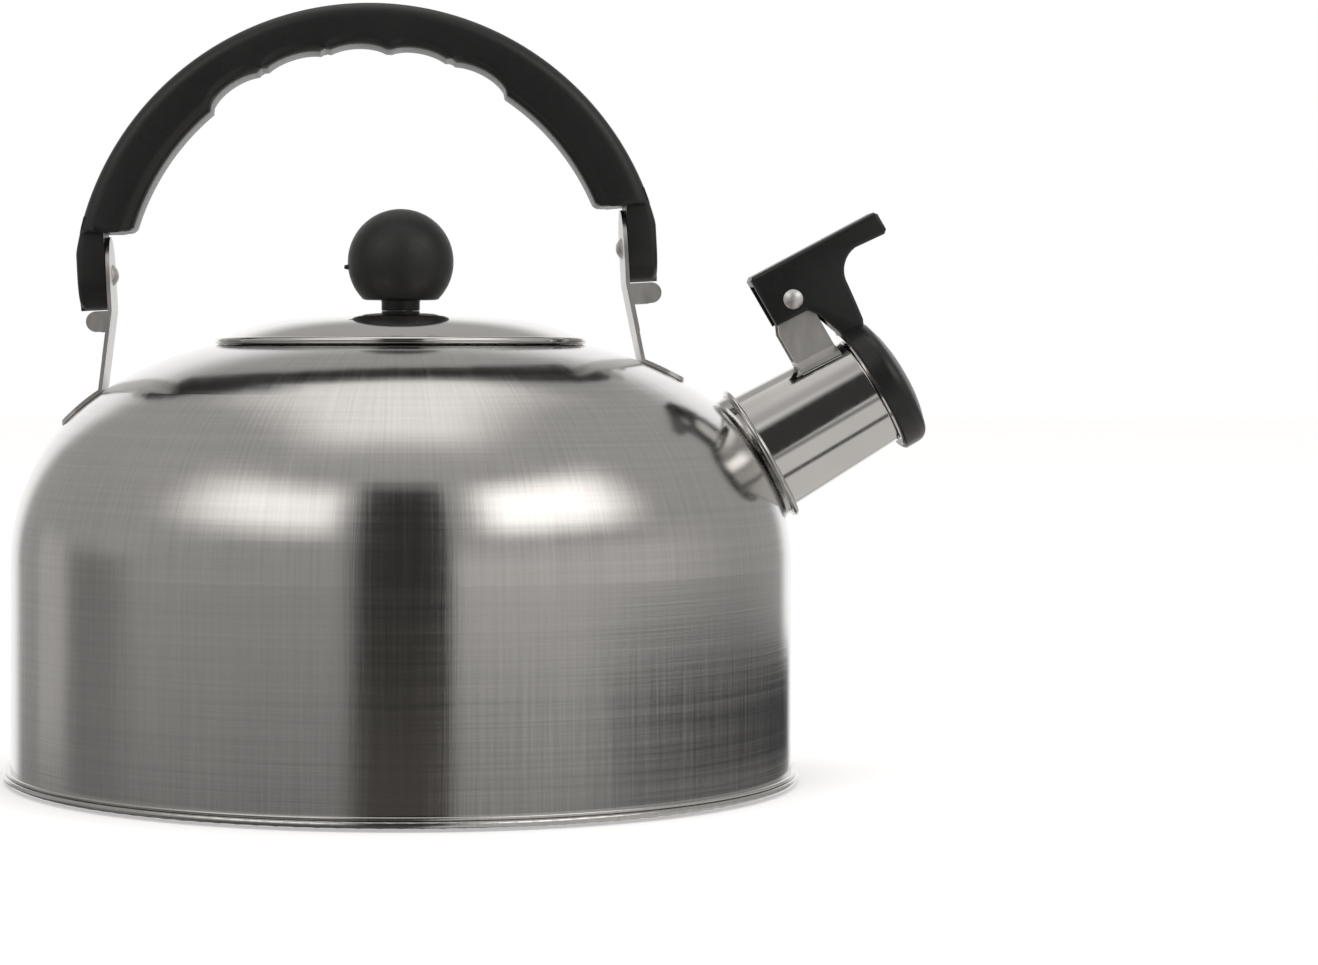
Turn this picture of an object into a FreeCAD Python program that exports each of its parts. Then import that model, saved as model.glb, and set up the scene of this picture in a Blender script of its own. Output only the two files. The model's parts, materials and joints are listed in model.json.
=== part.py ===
import FreeCAD, Part

import math
import os
import re

import Sketcher
from FreeCAD import Placement, Rotation, Vector

# Stovetop whistling kettle, in millimetres. The origin is the centre of the flat base, +Z is up and
# +X points to the spout. The base, wall, shoulder, mouth and lid are round about the Z axis. The spout
# rises in the XZ plane, and the handle folds about a nearly level pivot axis that also lies in that plane.

os.makedirs("parts", exist_ok=True)
doc = FreeCAD.newDocument("WhistlingKettle")

SIZES = {
    # kettle body
    "wall_radius": 90.8,
    "body_sheet": 0.5,
    "shoulder_start": 50.5,
    "shoulder_radius": 47.0,
    "shoulder_turn": 57.0,
    "crown_radius": 77.0,
    "mouth_radius": 39.4,
    "mouth_lip": 2.5,
    "mouth_depth": 7.0,
    # seam and base
    "seam_proud": 1.7,
    "seam_height": 2.2,
    "seam_bead": 0.45,
    "seam_overhang": 0.3,
    "base_rise": 0.6,
    "base_sheet": 0.8,
    "base_inset": 10.8,
    "base_fit": 0.6,
    # spout, from the middle of its root; heights along it are measured from there
    "spout_inset": 7.7,
    "spout_lift": 24.16,
    "spout_rise": 30.0,
    "neck_gap": 0.1,
    "neck_height": 1.4,
    "neck_flare": 1.5,
    "neck_lip": 0.7,
    "neck_lip_set": 0.546,
    "spout_foot": 14.95,
    "spout_mouth": 13.3,
    "spout_depth": 5.0,
    "spout_length": 30.5,
    "spout_sheet": 0.8,
    # cap hinge
    "pin_along": 25.4,
    "pin_rise": 14.4,
    "pin_radius": 1.5,
    "pin_head": 2.3,
    "pin_dome": 0.9,
    "bracket_start": 18.6,
    "bracket_end": 28.6,
    "bracket_rise": 8.7,
    "bracket_width": 7.4,
    "bracket_sheet": 0.8,
    "bracket_eye": 4.2,
    "saddle_width": 15.0,
    # whistle cap
    "lever_width": 11.2,
    "lever_wall": 1.7,
    "lever_plate": 2.2,
    "lever_start": 19.0,
    "lever_end": 52.4,
    "lever_rise": 9.2,
    "lever_slope": 1.8,
    "tip_height": 5.7,
    "tip_chamfer": 0.7,
    "tip_length": 8.4,
    # outline of the arm: drops below the pin's axis, and reaches from the pin or from the rim of the cap
    "heel_drop": 3.6,
    "knee_reach": 1.3,
    "knee_drop": 3.9,
    "shin_reach": 3.5,
    "shin_drop": 6.1,
    "arm_sink": 0.3,
    "web_sink": 1.892,
    "web_reach": 5.5,
    "web_slope": 0.7,
    "nose_reach": 7.2,
    "nose_drop": 3.4,
    "nose_radius": 6.5,
    "roof_end": 2.5,
    "front_wall": 0.8,
    "cap_cover": 1.0,
    "cap_wall": 2.2,
    "cap_start": 31.1,
    "cap_side": 4.2,
    "cap_edge": 2.2,
    "cap_edge_turn": 73.0,
    "cap_roof": 0.66,
    "steam_radius": 2.5,
    # whistle
    "cup_sheet": 0.4,
    "cup_overhang": 1.6,
    "cup_depth": 6.2,
    "cup_fit": 0.6,
    "cup_taper": 0.7,
    "whistle_hole": 2.0,
    "chamber": 4.2,
    # torsion spring
    "wire": 0.35,
    "coil_radius": 2.4,
    "coil_pitch": 0.76,
    "coil_turns": 5.0,
    # handle and its pivots, from the middle of the pivot axis
    "pivot_x": -7.8,
    "pivot_z": 120.1,
    "handle_tilt": 3.0,
    "pivot_reach": 59.6,
    "leg_gap": 0.2,
    "leg_thick": 6.7,
    "leg_width": 16.0,
    "step_gap": 0.8,
    "grip_centre": 8.9,
    "grip_outer": 69.0,
    "grip_inner": 57.0,
    "grip_width": 19.0,
    "grip_round": 3.2,
    "scallop_valley": 60.1,
    "scallop_radius": 12.7,
    "scallop_pitch": 14.6,
    "scallops": 5,
    "bow_turn": 170.0,
    "rivet_radius": 2.0,
    "rivet_head": 2.6,
    "rivet_dome": 1.4,
    "recess_radius": 5.0,
    "recess_depth": 2.4,
    "washer_radius": 4.6,
    "washer_thick": 0.7,
    "peen_radius": 3.3,
    "peen_height": 1.1,
    # ears
    "ear_sheet": 0.9,
    "ear_width": 18.0,
    "spout_ear_splay": 8.5,
    "far_ear_splay": 10.0,
    "ear_foot": 8.5,
    "foot_sink": 4.82,
    "foot_round": 4.0,
    "wing_gap": 0.3,
    "wing_height": 4.8,
    "spout_wing": 7.2,
    "far_wing": 5.2,
    "rib_width": 3.0,
    "rib_proud": 0.7,
    "rib_start": 12.0,
    "rib_end": 20.0,
    # lid
    "lid_reach": 1.0,
    "lid_bead": 0.8,
    "lid_bead_rise": 0.816,
    "lid_rim_rise": 0.64,
    "lid_sheet": 0.6,
    "lid_rim_inset": 0.5,
    "lid_edge": 45.8,
    "lid_flat": 26.0,
    "lid_slope": 6.0,
    "skirt_gap": 0.6,
    "skirt_depth": 6.5,
    "skirt_flange": 31.0,
    "skirt_corner": 0.72,
    # knob and its screw
    "knob_radius": 12.4,
    "knob_flat": 8.6,
    "boss_radius": 4.5,
    "boss_height": 2.5,
    "insert_radius": 3.0,
    "insert_length": 9.0,
    "insert_groove": 0.4,
    "screw_radius": 2.0,
    "screw_length": 9.0,
    "screw_head": 3.6,
    "screw_head_height": 2.2,
    "screw_edge": 0.6,
    "screw_edge_radius": 0.7,
    "screw_point": 0.5,
    "screw_slot": 0.9,
    "knob_washer_radius": 5.5,
    "knob_washer_thick": 0.8,
    # clearances
    "seat": 0.05,
    "lid_rest": 0.15,
    "running": 0.08,
    "beyond": 5.0,
}

sheet = doc.addObject("Spreadsheet::Sheet", "Sizes")
for row, (alias, number) in enumerate(SIZES.items(), start=1):
    sheet.set(f"A{row}", alias)
    sheet.set(f"B{row}", str(number))
    sheet.setAlias(f"B{row}", alias)
doc.recompute()

# Places that several pieces share, worked out from the sheet.
SHOULDER_X = "(wall_radius - shoulder_radius)"
TURN_X = f"({SHOULDER_X} + shoulder_radius * cos(shoulder_turn))"
TURN_Z = "(shoulder_start + shoulder_radius * sin(shoulder_turn))"
CROWN_X = f"({TURN_X} - crown_radius * cos(shoulder_turn))"
CROWN_Z = f"({TURN_Z} - crown_radius * sin(shoulder_turn))"
LIP_X = "(mouth_radius + mouth_lip)"
LIP_Z = f"({CROWN_Z} + sqrt(pow(crown_radius - mouth_lip; 2) - pow({LIP_X} - {CROWN_X}; 2)))"
FLANGE_TOP = "(seam_height + 2 * seam_bead)"
SEAM_RADIUS = "(wall_radius + seam_proud)"
BASE_FLAT = "(wall_radius - base_inset)"

SPOUT_X = "(wall_radius - spout_inset)"
SPOUT_Z = "(shoulder_start + spout_lift)"
SPOUT_SLOPE = "((spout_foot - spout_mouth) / (spout_depth + spout_length))"
NECK_RADIUS = "(spout_foot + neck_gap + body_sheet)"
PIN_UP = "(spout_mouth + pin_rise)"
BRACKET_SHOULDER = "(spout_mouth + bracket_rise)"

CUP_NECK = "(spout_mouth - spout_sheet - cup_fit)"
CUP_FOOT = f"({CUP_NECK} - cup_taper)"
CUP_FLANGE = "(spout_mouth + cup_overhang)"
LEVER_TOP = f"({PIN_UP} + lever_rise)"
CAP_RADIUS = f"({CUP_FLANGE} + cap_cover)"
CAP_EDGE_R = f"({CAP_RADIUS} - cap_edge + cap_edge * cos(cap_edge_turn))"
CAP_EDGE_U = "(cap_start + cap_side + cap_edge * sin(cap_edge_turn))"
CAP_CROWN = f"({CAP_EDGE_R} / cos(cap_edge_turn))"

LID_RING = f"({LIP_X} + lid_reach)"
LID_RIM = f"({LID_RING} - lid_rim_inset)"
LID_SEAT = f"({CROWN_Z} + sqrt(pow(crown_radius; 2) - pow({LID_RING} - {CROWN_X}; 2)))"
LID_RING_Z = f"({LID_SEAT} + lid_bead_rise + lid_rest)"
LID_RIM_Z = f"({LID_RING_Z} + lid_rim_rise)"
LID_EDGE_X = "(lid_flat - lid_edge * sin(lid_slope))"
LID_EDGE_Z = f"({LID_RIM_Z} - sqrt(pow(lid_edge; 2) - pow({LID_RIM} - {LID_EDGE_X}; 2)))"
LID_TOP_RADIUS = "(lid_flat / sin(lid_slope))"
LID_TOP = f"({LID_EDGE_Z} + lid_edge * cos(lid_slope) + {LID_TOP_RADIUS} * (1 - cos(lid_slope)))"
SKIRT_RADIUS = "(mouth_radius - skirt_gap)"

KNOB_FOOT = f"({LID_TOP} + seat)"
KNOB_FLAT_Z = f"({KNOB_FOOT} + boss_height)"
KNOB_CENTRE = f"({KNOB_FLAT_Z} + sqrt(pow(knob_radius; 2) - pow(knob_flat; 2)))"
WASHER_TOP = f"({LID_TOP} - lid_sheet - 2 * seat)"
WASHER_FOOT = f"({WASHER_TOP} - knob_washer_thick)"

LEG_INNER = "(pivot_reach + ear_sheet + leg_gap)"
LEG_OUTER = f"({LEG_INNER} + leg_thick)"
LEG_END = "(leg_width / 2)"
STEP = "(ear_width / 2 + step_gap)"
WING_TOP = f"({LEG_END} + wing_gap)"
RECESS_FLOOR = "(ear_sheet + leg_gap + leg_thick - recess_depth)"


def bound(text):
    """The same formula with each alias pointing into the sheet."""
    return re.sub(r"[a-z_]+", lambda word: "Sizes." + word[0] if word[0] in SIZES else word[0], str(text))


def size(text):
    """The value of a formula, for the places that an expression can't drive."""
    value = sheet.evalExpression(bound(text))
    return float(getattr(value, "Value", value))


def bind(thing, **formulas):
    for name, text in formulas.items():
        thing.setExpression(name, bound(text))


def curve_to(start, finish, radius):
    """The arc of under half a turn from start to finish; a positive radius turns left on the way."""
    chord = finish - start
    aside = Vector(-chord.y, chord.x, 0).normalize()
    reach = math.sqrt(radius**2 - chord.Length**2 / 4)
    centre = (start + finish) / 2 + aside * math.copysign(reach, radius)
    ends = (start, finish) if radius > 0 else (finish, start)
    turns = [math.atan2(end.y - centre.y, end.x - centre.x) for end in ends]
    return Part.ArcOfCircle(Part.Circle(centre, Vector(0, 0, 1), abs(radius)), *turns)


def outline(sketch, corners):
    """Closes a loop. (across, up) starts a straight edge and (across, up, radius) an arc."""
    places = [Vector(size(corner[0]), size(corner[1]), 0) for corner in corners]
    edges = []
    for i, corner in enumerate(corners):
        start, finish = places[i], places[(i + 1) % len(places)]
        if len(corner) == 2:
            edges.append((sketch.addGeometry(Part.LineSegment(start, finish)), 1, 2))
            continue
        radius = size(corner[2])
        arc = sketch.addGeometry(curve_to(start, finish, radius))
        edges.append((arc, 1, 2) if radius > 0 else (arc, 2, 1))
    for i, corner in enumerate(corners):
        edge, head, _ = edges[i]
        before, _, tail = edges[i - 1]
        sketch.addConstraint(Sketcher.Constraint("Coincident", before, tail, edge, head))
        for kind, axis, formula in (("DistanceX", -2, corner[0]), ("DistanceY", -1, corner[1])):
            if formula == "0":
                sketch.addConstraint(Sketcher.Constraint("PointOnObject", edge, head, axis))
                continue
            place = Sketcher.Constraint(kind, -1, 1, edge, head, size(formula))
            name_and_bind(sketch, sketch.addConstraint(place), f"{kind}{i}", formula)
        if len(corner) == 3:
            radius = Sketcher.Constraint("Radius", edge, abs(size(corner[2])))
            formula = f"abs({corner[2]})"
            name_and_bind(sketch, sketch.addConstraint(radius), f"Radius{i}", formula)


def name_and_bind(sketch, constraint, name, formula):
    sketch.renameConstraint(constraint, name)
    bind(sketch, **{f"Constraints.{name}": formula})


def rounded_box(left, right, low, high, bend):
    return [
        (f"{left} + {bend}", low), (f"{right} - {bend}", low, bend),
        (right, f"{low} + {bend}"), (right, f"{high} - {bend}", bend),
        (f"{right} - {bend}", high), (f"{left} + {bend}", high, bend),
        (left, f"{high} - {bend}"), (left, f"{low} + {bend}", bend),
    ]


def new_body(label):
    body = doc.addObject("PartDesign::Body", label)
    body.Label = label
    return body


def draw(body, plane, corners):
    sketch = body.newObject("Sketcher::SketchObject", f"{body.Name}_outline")
    support = next(part for part in body.Origin.OriginFeatures if part.Role == plane)
    sketch.AttachmentSupport = [(support, "")]
    sketch.MapMode = "FlatFace"
    outline(sketch, corners)
    sketch.Visibility = False
    return sketch


def turned(label, corners):
    """A body turned about its Z axis from a half section."""
    body = new_body(label)
    turn = body.newObject("PartDesign::Revolution", f"{label}_turn")
    turn.Profile = draw(body, "YZ_Plane", corners)
    turn.ReferenceAxis = (turn.Profile[0], ["V_Axis"])
    turn.Angle = 360
    return body


def spun(label, corners):
    """Like turned, for skins whose arcs have their centres nearer the axis than their radii. Such an arc
    would turn into a torus that crosses itself, so each arc is a spline of the same shape."""
    places = [Vector(size(corner[0]), size(corner[1]), 0) for corner in corners]
    edges = []
    for i, corner in enumerate(corners):
        start, finish = places[i], places[(i + 1) % len(places)]
        if len(corner) == 2:
            edges.append(Part.makeLine(start, finish))
        else:
            edges.append(curve_to(start, finish, size(corner[2])).toBSpline().toShape())
    face = Part.Face(Part.Wire(edges))
    face.rotate(Vector(), Vector(1, 1, 1), 120)
    skin = doc.addObject("Part::Feature", label)
    skin.Label = label
    skin.Shape = face.revolve(Vector(), Vector(0, 0, 1), 360)
    return skin


def pad(body, plane, corners, width):
    """Adds an outline to a body, half its width to each side of a plane through the body's origin."""
    added = body.newObject("PartDesign::Pad", f"{body.Name}_pad")
    added.Profile = draw(body, plane, corners)
    added.SideType = "Symmetric"
    bind(added, Length=width)


def padded(label, plane, corners, width):
    body = new_body(label)
    pad(body, plane, corners, width)
    return body


def pocketed(body, plane, corners, width):
    pocket = body.newObject("PartDesign::Pocket", f"{body.Name}_pocket")
    pocket.Profile = draw(body, plane, corners)
    pocket.SideType = "Symmetric"
    bind(pocket, Length=width)


def primitive(body, kind, spot, turn, **formulas):
    """Adds or takes away a primitive, such as AdditiveTorus or SubtractiveCylinder, at a spot."""
    tool = body.newObject(f"PartDesign::{kind}", f"{body.Name}_{kind}")
    tool.Placement = Placement(spot, turn)
    bind(tool, **formulas)
    return tool


def cylinder(label, place, radius, height):
    rod = doc.addObject("Part::Cylinder", label)
    rod.Placement = place
    bind(rod, Radius=radius, Height=height)
    return rod


def torus(label, place, ring, section):
    hoop = doc.addObject("Part::Torus", label)
    hoop.Placement = place
    bind(hoop, Radius1=ring, Radius2=section)
    return hoop


def join(kind, label, base, tool):
    result = doc.addObject(f"Part::{kind}", label)
    result.Label = label
    result.Base, result.Tool = base, tool
    return result


UPRIGHT = Rotation()
ALONG_X = Rotation(Vector(0, 1, 0), 90)
ALONG_Y = Rotation(Vector(1, 0, 0), 90)


def spout_side():
    """X along the spout, Z across it upward."""
    rise = Rotation(Vector(0, 1, 0), -size("spout_rise"))
    return Placement(Vector(size(SPOUT_X), 0, size(SPOUT_Z)), rise)


def spout_axis():
    """Z along the spout."""
    return spout_side().multiply(Placement(Vector(), ALONG_X))


def handle_frame(side=1):
    """X along the pivot axis, toward the spout for side 1 and away from it for side -1."""
    tilt = Rotation(Vector(0, 1, 0), -size("handle_tilt"))
    frame = Placement(Vector(size("pivot_x"), 0, size("pivot_z")), tilt)
    return frame.multiply(Placement(Vector(), Rotation(Vector(0, 0, 1), 90 - 90 * side)))


# ---------------------------------------------------------------- kettle body


def body_form(label, inset, foot, peak="0"):
    """The kettle's outer form up to the mouth, with its skin moved inward by inset. The floor of the
    mouth may rise to a peak in the middle."""
    turn = f"({inset})"
    lip_share = f"(crown_radius - {turn}) / (crown_radius - mouth_lip)"
    crown_end = (f"{CROWN_X} + ({LIP_X} - {CROWN_X}) * {lip_share}",
                 f"{CROWN_Z} + ({LIP_Z} - {CROWN_Z}) * {lip_share}", f"mouth_lip - {turn}")
    return spun(label, [
        ("0", foot),
        (f"wall_radius - {turn}", foot),
        (f"wall_radius - {turn}", "shoulder_start", f"shoulder_radius - {turn}"),
        (f"{TURN_X} - {turn} * cos(shoulder_turn)", f"{TURN_Z} - {turn} * sin(shoulder_turn)",
         f"crown_radius - {turn}"),
        crown_end,
        (f"mouth_radius + {turn}", LIP_Z),
        (f"mouth_radius + {turn}", f"{LIP_Z} - mouth_depth"),
        ("0", f"{LIP_Z} - mouth_depth + {peak}"),
    ])


def with_neck(form, radius, flare, length):
    """The spout's neck drawn out of the shoulder, with a soft root."""
    root = spout_axis().multiply(Placement(Vector(0, 0, -size(NECK_RADIUS)), UPRIGHT))
    neck = cylinder(f"{form.Name}_neck", root, radius, f"{NECK_RADIUS} + {length}")
    necked = join("Fuse", f"{form.Name}_necked", form, neck)
    doc.recompute()
    fillet = doc.addObject("Part::Fillet", f"{form.Name}_flared")
    fillet.Base = necked
    bend = size(flare)
    fillet.Edges = [(i, bend, bend) for i, edge in enumerate(necked.Shape.Edges, start=1)
                    if edge.Curve.TypeId not in ("Part::GeomCircle", "Part::GeomLine")]
    return fillet


def make_body_shell():
    form = body_form("body_outside", "0", "seam_height")
    flared = with_neck(form, NECK_RADIUS, "neck_flare", "4 * neck_height")
    rim = spout_axis().multiply(Placement(Vector(0, 0, size("neck_height")), UPRIGHT))
    beyond = cylinder("beyond_neck", rim, f"2.5 * {NECK_RADIUS}", f"2 * {NECK_RADIUS}")
    outside = join("Cut", "body_outer_form", flared, beyond)
    hollow = body_form("body_inside", "body_sheet", "seam_height - beyond", "mouth_depth / 2")
    inside = with_neck(hollow, f"{NECK_RADIUS} - body_sheet", "neck_flare + body_sheet", "5 * neck_height")
    lip = torus("neck_lip_ring", rim, f"{NECK_RADIUS} + neck_lip_set", "neck_lip")
    edge = f"({SEAM_RADIUS} - seam_overhang)"
    flange = turned("seam_flange", [
        ("wall_radius - body_sheet", "seam_height"),
        (f"{edge} - seam_bead", "seam_height", "seam_bead"),
        (edge, "seam_height + seam_bead", "seam_bead"),
        (f"{edge} - seam_bead", FLANGE_TOP),
        ("wall_radius - body_sheet", FLANGE_TOP),
    ])
    skin = join("Cut", "body_skin", outside, inside)
    lipped = join("Fuse", "body_lipped", skin, lip)
    return join("Fuse", "body_shell", lipped, flange)


def make_base_plate():
    bead = "(seam_height - base_rise) / 2"
    inner = "(wall_radius - body_sheet - base_fit)"
    return turned("base_plate", [
        ("0", "0"),
        (BASE_FLAT, "0"),
        (f"{BASE_FLAT} + 2 * base_rise", "base_rise"),
        (f"{SEAM_RADIUS} - {bead}", "base_rise", bead),
        (SEAM_RADIUS, f"base_rise + {bead}", bead),
        (f"{SEAM_RADIUS} - {bead}", "seam_height"),
        (inner, "seam_height"),
        (inner, "base_rise + base_sheet"),
        (f"{BASE_FLAT} + base_rise", "base_rise + base_sheet"),
        (f"{BASE_FLAT} - base_rise", "base_sheet"),
        ("0", "base_sheet"),
    ])


# ---------------------------------------------------------------- spout and whistle cap


def spout_radius(along):
    """The outside of the tapered spout at a distance along it."""
    return f"(spout_foot - {SPOUT_SLOPE} * (({along}) + spout_depth))"


def make_spout_tube():
    tube = turned("spout_tube", [
        ("spout_foot - spout_sheet", "-spout_depth"),
        ("spout_foot", "-spout_depth"),
        ("spout_mouth", "spout_length"),
        ("spout_mouth - spout_sheet", "spout_length"),
    ])
    tube.Placement = spout_axis()
    return tube


def make_spout_bracket():
    ends = ("bracket_start", "bracket_end")
    near = [(f"{spout_radius(end)} + 2 * seat", end) for end in ends]
    far = [(f"{spout_radius(end)} + 2 * seat + bracket_sheet", end) for end in ends]
    sleeve = turned("saddle_sleeve", [near[0], *far, near[1]])
    sleeve.Placement = spout_axis()
    reach = "(spout_foot + 2 * bracket_sheet)"
    window = padded("saddle_window", "XZ_Plane", [
        ("0", "spout_mouth / 2"), ("spout_length", "spout_mouth / 2"),
        ("spout_length", reach), ("0", reach),
    ], "saddle_width")
    window.Placement = spout_side()
    saddle = join("Common", "bracket_saddle", sleeve, window)

    cheeks = padded("bracket_cheeks", "XZ_Plane", [
        ("bracket_start", spout_radius("bracket_start")),
        ("bracket_end", spout_radius("bracket_end")),
        ("bracket_end", BRACKET_SHOULDER),
        ("pin_along + bracket_eye", PIN_UP, "bracket_eye"),
        ("pin_along", f"{PIN_UP} + bracket_eye", "bracket_eye"),
        ("pin_along - bracket_eye", PIN_UP),
        ("bracket_start", BRACKET_SHOULDER),
    ], "bracket_width")
    above = f"({PIN_UP} + 2 * bracket_eye)"
    pocketed(cheeks, "XZ_Plane", [
        ("bracket_start - beyond", "spout_mouth / 2"), ("bracket_end + beyond", "spout_mouth / 2"),
        ("bracket_end + beyond", above), ("bracket_start - beyond", above),
    ], "bracket_width - 2 * bracket_sheet")
    eye = Vector(size("pin_along"), size("bracket_width"), size(PIN_UP))
    primitive(cheeks, "SubtractiveCylinder", eye, ALONG_Y, Radius="pin_radius + seat",
              Height="2 * bracket_width")
    cheeks.Placement = spout_side()
    return join("Fuse", "spout_bracket", saddle, cheeks)


def make_hinge_pin():
    grip = "(lever_width / 2 + running)"
    dome = "((pow(pin_head; 2) + pow(pin_dome; 2)) / (2 * pin_dome))"
    pin = turned("hinge_pin", [
        ("0", f"-{grip} - pin_dome", dome),
        ("pin_head", f"-{grip}"), ("pin_radius", f"-{grip}"),
        ("pin_radius", grip), ("pin_head", grip, dome),
        ("0", f"{grip} + pin_dome"),
    ])
    pin.Placement = spout_side().multiply(Placement(Vector(size("pin_along"), 0, size(PIN_UP)), ALONG_Y))
    return pin


def lever_plate_top(along):
    return f"({LEVER_TOP} - (({along}) - lever_start) * tan(lever_slope))"


def make_cap_lever():
    tip = lever_plate_top("lever_end")
    web = f"({CAP_RADIUS} - web_sink)"
    lever = padded("cap_arm", "XZ_Plane", [
        ("lever_start", f"{PIN_UP} - heel_drop"),
        ("pin_along + knee_reach", f"{PIN_UP} - knee_drop"),
        ("pin_along + shin_reach", f"{PIN_UP} - shin_drop"),
        ("cap_start", f"{CAP_RADIUS} - arm_sink"),
        ("cap_start", web),
        ("cap_start + web_reach", web),
        ("cap_start + web_reach + web_slope", f"{CAP_RADIUS} - arm_sink"),
        ("cap_start + nose_reach", f"{PIN_UP} - nose_drop", "-nose_radius"),
        ("lever_end - tip_length", f"{tip} - tip_height + tip_chamfer"),
        ("lever_end", f"{tip} - tip_height"),
        ("lever_end", tip),
        ("lever_start", LEVER_TOP),
    ], "lever_width")
    back, front = "(lever_start - beyond)", "(cap_start - front_wall)"
    roof = [(end, f"{lever_plate_top(end)} - lever_plate") for end in ("cap_start - roof_end", back)]
    pocketed(lever, "XZ_Plane", [
        (back, CAP_RADIUS), (front, CAP_RADIUS), (front, f"{PIN_UP} + bracket_eye / 2"), *roof,
    ], "lever_width - 2 * lever_wall")
    eye = Vector(size("pin_along"), size("lever_width"), size(PIN_UP))
    primitive(lever, "SubtractiveCylinder", eye, ALONG_Y, Radius="pin_radius + running",
              Height="2 * lever_width")
    lever.Placement = spout_side()

    dome = turned("cap_dome", [
        (f"{CAP_RADIUS} - cap_wall", "cap_start"),
        (CAP_RADIUS, "cap_start"),
        (CAP_RADIUS, "cap_start + cap_side", "cap_edge"),
        (CAP_EDGE_R, CAP_EDGE_U, CAP_CROWN),
        ("0", f"{CAP_EDGE_U} + {CAP_CROWN} * (1 - sin(cap_edge_turn))"),
        ("0", f"{CAP_EDGE_U} - cap_roof"),
        (f"{CAP_RADIUS} - cap_wall", f"{CAP_EDGE_U} - cap_roof"),
    ])
    primitive(dome, "SubtractiveCylinder", Vector(0, 0, size("cap_start")), UPRIGHT,
              Radius="steam_radius", Height=CAP_RADIUS)
    dome.Placement = spout_axis()
    return join("Fuse", "cap_lever", lever, dome)


def make_whistle():
    """The cup's bore is a cone, and the plate is pressed in where the cone is as wide as the plate."""
    rim = "cap_start"
    foot = f"({rim} - cup_sheet - cup_depth)"
    cup = turned("whistle_cup", [
        ("whistle_hole", foot),
        (CUP_FOOT, foot),
        (CUP_NECK, f"{rim} - cup_sheet"),
        (CUP_FLANGE, f"{rim} - cup_sheet"),
        (CUP_FLANGE, rim),
        (f"{CUP_NECK} - cup_sheet", rim),
        (f"{CUP_FOOT} - cup_sheet", f"{foot} + cup_sheet"),
        ("whistle_hole", f"{foot} + cup_sheet"),
    ])
    spread = f"(({CUP_NECK} - {CUP_FOOT}) / cup_depth)"
    edge = f"({CUP_FOOT} - cup_sheet + {spread} * (chamber - cup_sheet) - 2 * seat)"
    plate = turned("whistle_plate", [
        ("whistle_hole", f"{foot} + chamber"),
        (edge, f"{foot} + chamber"),
        (edge, f"{foot} + chamber + cup_sheet"),
        ("whistle_hole", f"{foot} + chamber + cup_sheet"),
    ])
    for piece in (cup, plate):
        piece.Placement = spout_axis()
    return [cup, plate]


def make_cap_spring():
    """A torsion spring: a wound coil and two straight legs, down to the saddle and up to the lever."""
    coil, wire = size("coil_radius"), size("wire")
    width = size("coil_pitch * coil_turns")
    path = Part.makeHelix(size("coil_pitch"), width, coil)
    path.rotate(Vector(), Vector(1, 0, 0), 90)
    path.rotate(Vector(), Vector(0, 1, 0), 180)
    path.translate(Vector(0, width / 2, 0))
    edge = path.Edges[0]
    section = Part.makeCircle(wire, edge.valueAt(edge.FirstParameter), edge.tangentAt(edge.FirstParameter))
    solid = Part.Wire(path.Edges).makePipeShell([Part.Wire(section)], True, True)
    drop = size(f"{PIN_UP} - {spout_radius('pin_along - coil_radius')} - bracket_sheet - seat")
    lift = size(f"{lever_plate_top('pin_along - coil_radius')} - lever_plate - {PIN_UP} - 2 * seat")
    for parameter, reach in ((edge.FirstParameter, -drop), (edge.LastParameter, lift)):
        heading = edge.tangentAt(parameter)
        along = math.copysign(1, reach * heading.z)
        leg = Part.makeCylinder(wire, abs(reach), edge.valueAt(parameter), heading * along)
        solid = solid.fuse(leg)
    spring = doc.addObject("Part::Feature", "cap_spring")
    spring.Shape = solid
    pin = Vector(size("pin_along"), 0, size(PIN_UP))
    spring.Placement = spout_side().multiply(Placement(pin, UPRIGHT))
    return spring


# ---------------------------------------------------------------- handle, ears and rivets


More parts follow.
